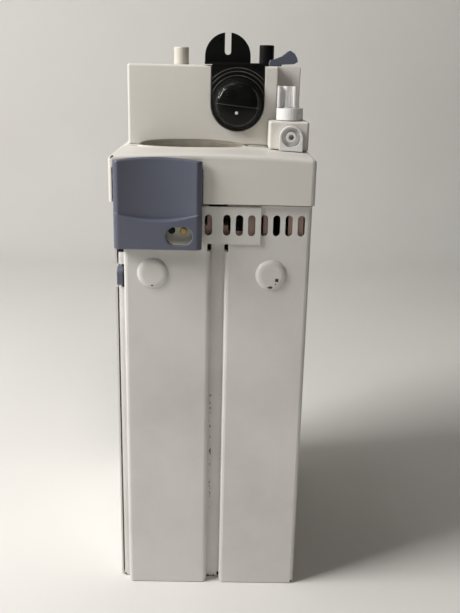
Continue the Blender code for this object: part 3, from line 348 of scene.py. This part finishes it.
def add_piece(name, shape, material, body, replaced=(), angle=38):
    """Makes an object of a bmesh, which rides on a CAD body and may stand for CAD nodes."""
    bmesh.ops.remove_doubles(shape, verts=shape.verts, dist=2e-6)
    bmesh.ops.recalc_face_normals(shape, faces=shape.faces)
    mesh = bpy.data.meshes.new(name)
    shape.to_mesh(mesh)
    shape.free()
    mesh.materials.append(MATERIALS[material])
    mesh.shade_smooth()
    mesh.set_sharp_from_angle(angle=math.radians(angle))
    obj = bpy.data.objects.new(name, mesh)
    SCENE.collection.objects.link(obj)
    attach(obj, body)
    if replaced:
        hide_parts(*replaced)


def turned_about_y(profile, centre, steps=96):
    """Points (radius, distance towards -Y) turned about the line along Y through centre, an (x, z)."""
    rows = []
    for radius, out in profile:
        row = []
        for step in range(steps):
            angle = 2 * math.pi * step / steps
            row.append((centre[0] + radius * math.cos(angle), -out, centre[1] + radius * math.sin(angle)))
        rows.append(row)
    shape = bmesh.new()
    lay_faces(shape, rows, closed=True)
    return shape


def smooth_step(value, low, high):
    share = min(1.0, max(0.0, (value - low) / (high - low)))
    return share * share * (3 - 2 * share)


# Release tab, in the same places as the CAD's.
TAB_LOW, TAB_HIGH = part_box("release_tab")
TAB_FACE = -0.05775
TAB_REAR = -0.0551
TAB_LEFT, TAB_RIGHT = TAB_LOW.x, TAB_HIGH.x
TAB_MIDDLE, TAB_HALF = (TAB_LEFT + TAB_RIGHT) / 2, (TAB_RIGHT - TAB_LEFT) / 2
TAB_BOTTOM = TAB_LOW.z
TAB_ARCH = 0.0014
TAB_SHOULDER = TAB_HIGH.z - TAB_ARCH
TAB_SIDE_ROUND, TAB_TOP_ROUND, TAB_BOTTOM_ROUND = 0.0022, 0.0009, 0.0005
LEDGE_SIDE, LEDGE_SAG = 0.1592, 0.0031    # height of the thumb's ledge at the sides, and its dip between
SCOOP_STEP, SCOOP_DEPTH = 0.00030, 0.00170    # how far the face steps back above the ledge, and the scoop
SCOOP_SHARE = 0.88    # how much of the tab's width the scoop takes
LUG_X, LUG_WIDTH, LUG_RADIUS, LUG_BORE = (-0.0335, -0.0090), 0.0025, 0.0017, 0.0012
PIN_Y, PIN_Z = -0.0526, 0.1720
WINDOW_X, WINDOW_Z = -0.01205, 0.15085
WINDOW_HALF, WINDOW_RADIUS = 0.00475, 0.00345
WINDOW_FLARE = 0.00045    # how much wider the window is at its back, to clear the rivet when pressed


def tab_ledge(x):
    across = (x - TAB_MIDDLE) / TAB_HALF
    return LEDGE_SIDE - LEDGE_SAG * (1 - across ** 2)


def tab_top(x):
    across = (x - TAB_MIDDLE) / TAB_HALF
    return TAB_SHOULDER + TAB_ARCH * (1 - across ** 2)


def tab_depth(x, z):
    """How far the tab's front is behind its foremost plane."""
    across = (x - TAB_MIDDLE) / TAB_HALF
    from_side = TAB_HALF - abs(x - TAB_MIDDLE)
    hollow = max(0.0, 1 - (across / SCOOP_SHARE) ** 2)
    above = smooth_step(z - tab_ledge(x), -0.00010, 0.00025 + 0.00045 * hollow)
    depth = (SCOOP_DEPTH * hollow + SCOOP_STEP) * above
    from_top, from_bottom = tab_top(x) - z, z - TAB_BOTTOM
    rounds = ((from_side, TAB_SIDE_ROUND), (from_top, TAB_TOP_ROUND), (from_bottom, TAB_BOTTOM_ROUND))
    for distance, radius in rounds:
        if distance < radius:
            depth += radius - math.sqrt(max(0.0, radius ** 2 - (radius - distance) ** 2))
    return min(depth, TAB_REAR - TAB_FACE - 0.00025)


def window_distance(x, z):
    """Distance outside the tab's window, which is a slot with round ends."""
    reach = WINDOW_HALF - WINDOW_RADIUS
    nearest = WINDOW_X + max(-reach, min(reach, x - WINDOW_X))
    return math.hypot(x - nearest, z - WINDOW_Z) - WINDOW_RADIUS


def onto_window(x, z, distance):
    """The point at that distance outside the window, straight out from the nearest point of its outline."""
    reach = WINDOW_HALF - WINDOW_RADIUS
    nearest = WINDOW_X + max(-reach, min(reach, x - WINDOW_X))
    away = math.hypot(x - nearest, z - WINDOW_Z)
    scale = (WINDOW_RADIUS + distance) / away
    return nearest + (x - nearest) * scale, WINDOW_Z + (z - WINDOW_Z) * scale


def spread(low, high, fine, coarse, margin):
    """Values from low to high, close together within margin of both ends."""
    values = [low + margin * (step / fine) ** 1.5 for step in range(fine)]
    values += [low + margin + (high - low - 2 * margin) * step / coarse for step in range(coarse + 1)]
    values += [high - margin * (step / fine) ** 1.5 for step in range(fine - 1, -1, -1)]
    return values


def make_tab():
    """The release tab: a scooped face with a ledge for the thumb, rounded edges and a window."""
    columns = spread(TAB_LEFT, TAB_RIGHT, 14, 90, 0.0024)
    lower = spread(0.0, 1.0, 6, 40, 0.06)
    upper = [0.004 * step for step in range(1, 19)] + [0.072 + 0.888 * step / 26 for step in range(1, 27)]
    upper += [0.96 + 0.04 * (1 - (1 - step / 8) ** 1.5) for step in range(1, 9)]
    rows = []
    for share in lower:
        rows.append([(x, TAB_BOTTOM + share * (tab_ledge(x) - TAB_BOTTOM)) for x in columns])
    for share in upper:
        rows.append([(x, tab_ledge(x) + share * (tab_top(x) - tab_ledge(x))) for x in columns])
    shape = bmesh.new()
    lay_faces(shape, [[(x, TAB_FACE + tab_depth(x, z), z) for x, z in row] for row in rows])
    outer = [edge for edge in shape.edges if edge.is_boundary]
    rim_width = 0.00035
    inside = []
    for face in shape.faces:
        centre = face.calc_center_median()
        if window_distance(centre.x, centre.z) < rim_width:
            inside.append(face)
    bmesh.ops.delete(shape, geom=inside, context="FACES")
    outer_set = set(outer)
    ring = [edge for edge in shape.edges if edge.is_boundary and edge not in outer_set]
    for vert in {vert for edge in ring for vert in edge.verts}:
        x, z = onto_window(vert.co.x, vert.co.z, rim_width)
        vert.co = (x, TAB_FACE, z)
    wall = [(0.00012, 0.00005), (0.0, 0.00020), (0.0, 0.0014)]
    wall += [(WINDOW_FLARE, 0.0018), (WINDOW_FLARE, TAB_REAR - TAB_FACE)]
    for distance, depth in wall:
        made = bmesh.ops.extrude_edge_only(shape, edges=ring)["geom"]
        for vert in (item for item in made if isinstance(item, bmesh.types.BMVert)):
            x, z = onto_window(vert.co.x, vert.co.z, distance)
            vert.co = (x, TAB_FACE + depth, z)
        ring = [item for item in made if isinstance(item, bmesh.types.BMEdge)]
    made = bmesh.ops.extrude_edge_only(shape, edges=outer)["geom"]
    for vert in (item for item in made if isinstance(item, bmesh.types.BMVert)):
        vert.co.y = TAB_REAR
    back = [item for item in made if isinstance(item, bmesh.types.BMEdge)]
    bmesh.ops.triangle_fill(shape, use_beauty=True, edges=back + ring)
    add_lugs(shape)
    add_piece("release_tab_fine", shape, "blue_plastic", "release_lever", ["release_tab"], 50)


def add_lugs(shape):
    """Two eyes on the tab's back, round the hinge pin."""
    inside_tab = TAB_REAR - 0.0003
    section = []
    for step in range(25):
        angle = math.radians(-90 + 180 * step / 24)
        section.append((PIN_Y + LUG_RADIUS * math.cos(angle), PIN_Z + LUG_RADIUS * math.sin(angle)))
    section += [(inside_tab, PIN_Z + LUG_RADIUS), (inside_tab, PIN_Z - LUG_RADIUS)]
    bore = []
    for step in range(24):
        angle = 2 * math.pi * step / 24
        bore.append((PIN_Y + LUG_BORE * math.cos(angle), PIN_Z + LUG_BORE * math.sin(angle)))
    for low in LUG_X:
        ends = (low, low + LUG_WIDTH)
        for outline in (section, bore):
            lay_faces(shape, [[(x, y, z) for y, z in outline] for x in ends], closed=True)
        for x in ends:
            edges_of_side = [
                edge for edge in shape.edges
                if edge.is_boundary and all(abs(vert.co.x - x) < 1e-7 for vert in edge.verts)
            ]
            bmesh.ops.triangle_fill(shape, use_beauty=True, edges=edges_of_side)


# Bowl of the water trap.
BOWL_X, BOWL_Z = 0.0086, 0.1961
RIM_BACK, RIM_FRONT, DOME_FRONT, BOWL_WALL = 0.0221, 0.0238, 0.0282, 0.00035
RIM_RADIUS, DOME_RADIUS, DOME_FLATNESS = 0.0101, 0.00895, 0.78


def dome_point(share, wall=0.0):
    """(radius, distance towards -Y) on the dome, from its middle at 0 to its foot at 1."""
    angle = math.pi / 2 * share
    out, up = math.sin(angle) ** DOME_FLATNESS, max(0.0, math.cos(angle)) ** DOME_FLATNESS
    return (DOME_RADIUS - wall) * out, RIM_FRONT - wall + (DOME_FRONT - RIM_FRONT) * up


def make_bowl():
    """The clear bowl: a thin dome, flat in front and tightly rounded at its rim, on a flat flange."""
    steps = 32
    outer = [dome_point(step / steps) for step in range(steps)] + [(DOME_RADIUS, RIM_FRONT + 0.0002)]
    inner = [dome_point(step / steps, BOWL_WALL) for step in range(steps + 1)]
    flange = [(DOME_RADIUS + 0.00015, RIM_FRONT + 0.00003), (DOME_RADIUS + 0.00035, RIM_FRONT)]
    flange += [(RIM_RADIUS - 0.0002, RIM_FRONT), (RIM_RADIUS - 0.00005, RIM_FRONT - 0.00006)]
    flange += [(RIM_RADIUS, RIM_FRONT - 0.0002), (RIM_RADIUS, RIM_BACK + 0.0001)]
    flange += [(RIM_RADIUS - 0.0001, RIM_BACK), (DOME_RADIUS - BOWL_WALL, RIM_BACK)]
    shape = turned_about_y(outer + flange + list(reversed(inner)), (BOWL_X, BOWL_Z))
    add_piece("trap_bowl_fine", shape, "clear_plastic", "bowl", ["trap_bowl"], 60)
    mark_x, mark_z = -0.0004, -0.0030
    front = dome_out(mark_x, mark_z)
    mark = [(0.0, 0.0003), (0.00040, 0.0003), (0.00055, 0.0002), (0.00060, -0.0001), (0.0, -0.0001)]
    profile = [(radius, front + height) for radius, height in mark]
    gate = turned_about_y(profile, (BOWL_X + mark_x, BOWL_Z + mark_z), 32)
    add_piece("bowl_gate_mark", gate, "gate_mark", "bowl")
    add_piece("bowl_mould_line", mould_line(), "mould_line", "bowl")


def dome_out(x, z):
    """How far towards -Y the dome's front is at x and z from its axis."""
    share = min(1.0, (math.hypot(x, z) / DOME_RADIUS) ** (1 / DOME_FLATNESS))
    height = math.sqrt(1 - share * share) ** DOME_FLATNESS
    return RIM_FRONT + (DOME_FRONT - RIM_FRONT) * height


def make_face_rings():
    """Fine rings moulded in the cartridge's face above the bowl, clipped by its straight sides. They catch
    light as ridges, and their grey colour, paler than the black face, is a painted highlight of their edges.
    """
    face = -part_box("trap_cartridge")[0].y - 0.0004    # the face lies this far behind the lip
    half_width, radius, count, sides = RIM_RADIUS - 0.0001, 0.00013, 60, 8
    for index, ring in enumerate((0.01075, 0.0123, 0.0136), start=1):
        last = math.acos(min(1.0, half_width / ring))
        rows = []
        for step in range(count + 1):
            angle = last + (math.pi - 2 * last) * step / count
            row = []
            for turn in range(sides):
                around = 2 * math.pi * turn / sides
                away, y = ring + radius * math.cos(around), -face - radius * math.sin(around)
                row.append((BOWL_X + away * math.cos(angle), y, BOWL_Z + away * math.sin(angle)))
            rows.append(row)
        shape = bmesh.new()
        lay_faces(shape, rows, closed=True)
        add_piece(f"face_ring_{index}", shape, "ring_plastic_painted_highlight", "water_trap", (), 80)


def make_grip():
    """The port plug's grip: two ribs at the ends of a web that swells to a round barrel, on a shank."""
    low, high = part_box("port_grip")
    middle = ((low.x + high.x) / 2, (low.y + high.y) / 2)
    half, depth = (high.x - low.x) / 2, (high.y - low.y) / 2
    foot, rib, web, barrel, shank, corner = 0.1956, 0.0010, 0.0004, 0.0012, 0.0020, 0.00015
    side = math.asin(web / barrel)
    front = [(-half, -depth + corner), (-half + corner, -depth), (-half + rib - corner, -depth)]
    front += [(-half + rib, -depth + corner), (-half + rib, -web)]
    for step in range(25):
        angle = math.pi + side + (math.pi - 2 * side) * step / 24
        front.append((barrel * math.cos(angle), barrel * math.sin(angle)))
    front += [(half - rib, -web), (half - rib, -depth + corner), (half - rib + corner, -depth)]
    front += [(half - corner, -depth), (half, -depth + corner)]
    section = front + [(-x, -y) for x, y in front]
    angles = [2 * math.pi * step / 32 for step in range(32)]
    shank_section = [(shank * math.cos(angle), shank * math.sin(angle)) for angle in angles]
    shape = bmesh.new()
    for outline, bottom, top in ((section, foot, high.z), (shank_section, low.z, foot - 0.00001)):
        rows = [[(middle[0] + x, middle[1] + y, z) for x, y in outline] for z in (bottom, top)]
        made = lay_faces(shape, rows, closed=True)
        for ring in made:
            shape.faces.new(ring)
    add_piece("port_grip_fine", shape, "white_plastic", "port_plug", ["port_grip"], 30)


def mould_line():
    """A thin ridge across the dome, a little lower at its right, coloured grey as a painted highlight along
    it.
    """
    start, end, half_width, height = (-0.0087, 0.0005), (0.0086, -0.0013), 0.00007, 0.00010
    rows = []
    for step in range(61):
        share = step / 60
        x = start[0] + (end[0] - start[0]) * share
        z = start[1] + (end[1] - start[1]) * share
        front = dome_out(x, z)
        row = []
        for side, lift in ((-1.0, -0.00005), (-0.6, height), (0.6, height), (1.0, -0.00005)):
            row.append((BOWL_X + x, -(front + lift), BOWL_Z + z + side * half_width))
        rows.append(row)
    shape = bmesh.new()
    lay_faces(shape, rows, closed=True)
    return shape


# Seam between block and bezel, and the finger recess across it.
RECESS_X, RECESS_Y = -0.0089, -0.0232
RECESS_HALF_X, RECESS_HALF_Y, RECESS_DEPTH, RECESS_ARCH = 0.0215, 0.0081, 0.0085, 0.0021
SKIN = 0.00012            # how far the fine surface stands off the CAD's
BEZEL_CROWN = 0.0013      # how much higher the bezel's top is in the middle than at its sides


def crown(x):
    """Height of the bezel's top at x."""
    bezel_low, bezel_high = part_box("front_bezel")
    middle, half_width = (bezel_low.x + bezel_high.x) / 2, (bezel_high.x - bezel_low.x) / 2
    return bezel_high.z - BEZEL_CROWN * ((x - middle) / half_width) ** 2


def make_recess():
    """The smooth inside of the finger recess, from its near lip under the arch in the block's foot."""
    block_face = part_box("front_block")[0].y
    top = crown(RECESS_X)
    rows = []
    count, turn_steps = 64, 40
    for index in range(count + 1):
        across = -1 + 2 * index / count
        x = RECESS_X + (RECESS_HALF_X - SKIN) * math.sin(math.pi / 2 * across)
        share = max(0.012, math.cos(math.pi / 2 * across))    # never 0, so that no face closes up
        half_y = (RECESS_HALF_Y - SKIN) * share
        reach = (block_face - RECESS_Y) / half_y
        last = 360 + math.degrees(math.acos(min(1.0, reach)))
        row = []
        for step in range(turn_steps + 1):
            angle = math.radians(180 + (last - 180) * step / turn_steps)
            rise = RECESS_ARCH if math.sin(angle) > 0 else RECESS_DEPTH
            z = top + (rise - SKIN) * share * math.sin(angle)
            row.append((x, RECESS_Y + half_y * math.cos(angle), z))
        rows.append(row)
    shape = bmesh.new()
    lay_faces(shape, rows)
    add_piece("finger_recess_skin", shape, "recess_plastic_painted_shade", "casing", (), 60)


def foot_fillet(name, path, radius=0.0007):
    """A small concave fillet in the corner between the bezel's top and the block, which hides their seam.

    The path holds (x, y) points along the block's foot with the block on its left.
    """
    rows = []
    for index, (x, y) in enumerate(path):
        before = Vector(path[max(0, index - 1)])
        after = Vector(path[min(len(path) - 1, index + 1)])
        along = (after - before).normalized()
        outward = Vector((along.y, -along.x))
        row = []
        for step in range(7):
            angle = math.radians(180 + 90 * step / 6)
            out = radius * (1 + math.cos(angle))
            up = radius * (1 + math.sin(angle))
            row.append((x + outward.x * out, y + outward.y * out, crown(x) + up))
        row.append((x - outward.x * 0.0001, y - outward.y * 0.0001, crown(x) - 0.0001))
        rows.append(row)
    shape = bmesh.new()
    lay_faces(shape, rows, closed=True)
    add_piece(name, shape, "block_plastic_painted_light", "casing", (), 60)


def make_foot_fillets():
    """One fillet along the block's left side and its front up to the recess, and one right of the recess."""
    low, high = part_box("front_block")
    recess_left, recess_right = RECESS_X - RECESS_HALF_X, RECESS_X + RECESS_HALF_X
    port_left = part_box("port_block")[0].x
    corner, margin = 0.0007, 0.001
    side = high.y - low.y - 2 * margin
    left = [(low.x, high.y - margin - side * step / 12) for step in range(13)]
    for step in range(1, 4):
        angle = math.radians(30 * step)
        left.append((low.x + corner * (1 - math.cos(angle)), low.y + corner * (1 - math.sin(angle))))
    run = recess_left - 0.0002 - low.x - corner
    left += [(low.x + corner + run * step / 4, low.y) for step in range(1, 5)]
    foot_fillet("foot_fillet_left", left)
    start = recess_right + 0.0008
    right = [(start + (port_left - start) * step / 8, low.y) for step in range(9)]
    foot_fillet("foot_fillet_right", right)


def dress(node, material):
    """Gives a CAD node its material, and smooth shading between faces that meet at a small angle."""
    obj = frame["nodes"][node]
    obj.data.materials.clear()
    obj.data.materials.append(MATERIALS[material])
    obj.data.shade_smooth()
    obj.data.set_sharp_from_angle(angle=math.radians(32))


def dress_all():
    # The latch arm's near-black steel is painted shade for its slot.
    own = {
        "vent_plate": "vent_coat", "front_bezel": "bezel_plastic", "front_block": "block_plastic_painted_light",
        "port_block": "block_plastic_painted_light", "window_plate": "plate_coat", "latch_arm": "dark_steel_painted_shade",
    }
    for entry in frame["record"]["subparts"]:
        node = entry["node"]
        dress(node, own.get(node, entry["material_slot"]))


# ---- camera, stage and light ----

def make_camera():
    """Looks at the grooved side from a little above, as a hand-held camera does."""
    eye = (0.00318, -0.33467, 0.21055)
    pitch, yaw, roll = math.radians(17.22), math.radians(0.78), math.radians(1.29)
    forward = Vector((math.sin(yaw) * math.cos(pitch), math.cos(yaw) * math.cos(pitch), -math.sin(pitch)))
    level = Vector((math.cos(yaw), -math.sin(yaw), 0.0))
    upright = level.cross(forward)
    right = math.cos(roll) * level + math.sin(roll) * upright
    up = -math.sin(roll) * level + math.cos(roll) * upright
    data = bpy.data.cameras.new("camera")
    data.lens = 45.70
    data.sensor_width = 36.0
    data.clip_start = 0.01
    camera = bpy.data.objects.new("camera", data)
    SCENE.collection.objects.link(camera)
    placing = Matrix((right, up, -forward)).transposed().to_4x4()
    placing.translation = eye
    camera.matrix_world = placing
    SCENE.camera = camera


def make_stage():
    """A pale floor that curves up into a pale wall, swept along X."""
    floor_z, front, wall_y, curve, top, half_width = -0.0003, -1.6, 0.62, 0.12, 1.9, 2.2
    line = [(front, floor_z), (wall_y - curve, floor_z)]
    for step in range(1, 13):
        angle = math.radians(90 * step / 12)
        line.append((wall_y - curve + curve * math.sin(angle), floor_z + curve * (1 - math.cos(angle))))
    line.append((wall_y, top))
    shape = bmesh.new()
    rows = [[shape.verts.new((x, y, z)) for y, z in line] for x in (-half_width, half_width)]
    for index in range(len(line) - 1):
        shape.faces.new((rows[0][index], rows[1][index], rows[1][index + 1], rows[0][index + 1]))
    mesh = bpy.data.meshes.new("stage")
    shape.to_mesh(mesh)
    shape.free()
    mesh.shade_smooth()
    stage = bpy.data.objects.new("stage", mesh)
    SCENE.collection.objects.link(stage)
    material, tree, shader = new_material("stage_paper", Roughness=0.85)
    point = places(tree)
    patches = band(tree, noise(tree, point, 6.0), 0.3, 0.7)
    tone = mix(tree, patches, (0.79, 0.78, 0.755), (0.76, 0.75, 0.725))
    link(tree, tone, shader.inputs["Base Color"])
    mesh.materials.append(material)


def area_light(name, place, target, size, power, colour):
    data = bpy.data.lights.new(name, "AREA")
    data.shape = "RECTANGLE"
    data.size, data.size_y = size
    data.energy = power
    data.color = colour
    light = bpy.data.objects.new(name, data)
    SCENE.collection.objects.link(light)
    light.location = place
    aim = Vector(target) - Vector(place)
    light.rotation_euler = aim.to_track_quat("-Z", "Y").to_euler()


def make_light():
    """A near window on the left, a soft light overhead, a lamp high in front, and a card low in front."""
    middle, foot = (0.0, 0.0, 0.12), (0.0, -0.05, 0.04)
    daylight, lamp = (1.0, 0.985, 0.96), (1.0, 0.94, 0.86)
    area_light("window", (-0.62, -0.22, 0.62), middle, (0.35, 0.50), 8.5, daylight)
    area_light("overhead", (-0.35, 0.05, 1.25), middle, (0.30, 0.30), 1.2, daylight)
    area_light("lamp", (0.18, -0.78, 1.20), middle, (0.14, 0.14), 1.2, lamp)
    area_light("card", (-0.02, -0.26, 0.02), foot, (0.24, 0.05), 0.035, lamp)
    world = bpy.data.worlds.new("room")
    world.use_nodes = True
    background = world.node_tree.nodes["Background"]
    background.inputs["Color"].default_value = (1.0, 0.96, 0.90, 1.0)
    background.inputs["Strength"].default_value = 0.02
    SCENE.world = world
    SCENE.view_settings.view_transform = "Standard"


make_camera()
dress_all()
make_tab()
make_bowl()
make_face_rings()
make_grip()
make_recess()
make_foot_fillets()
make_stage()
make_light()
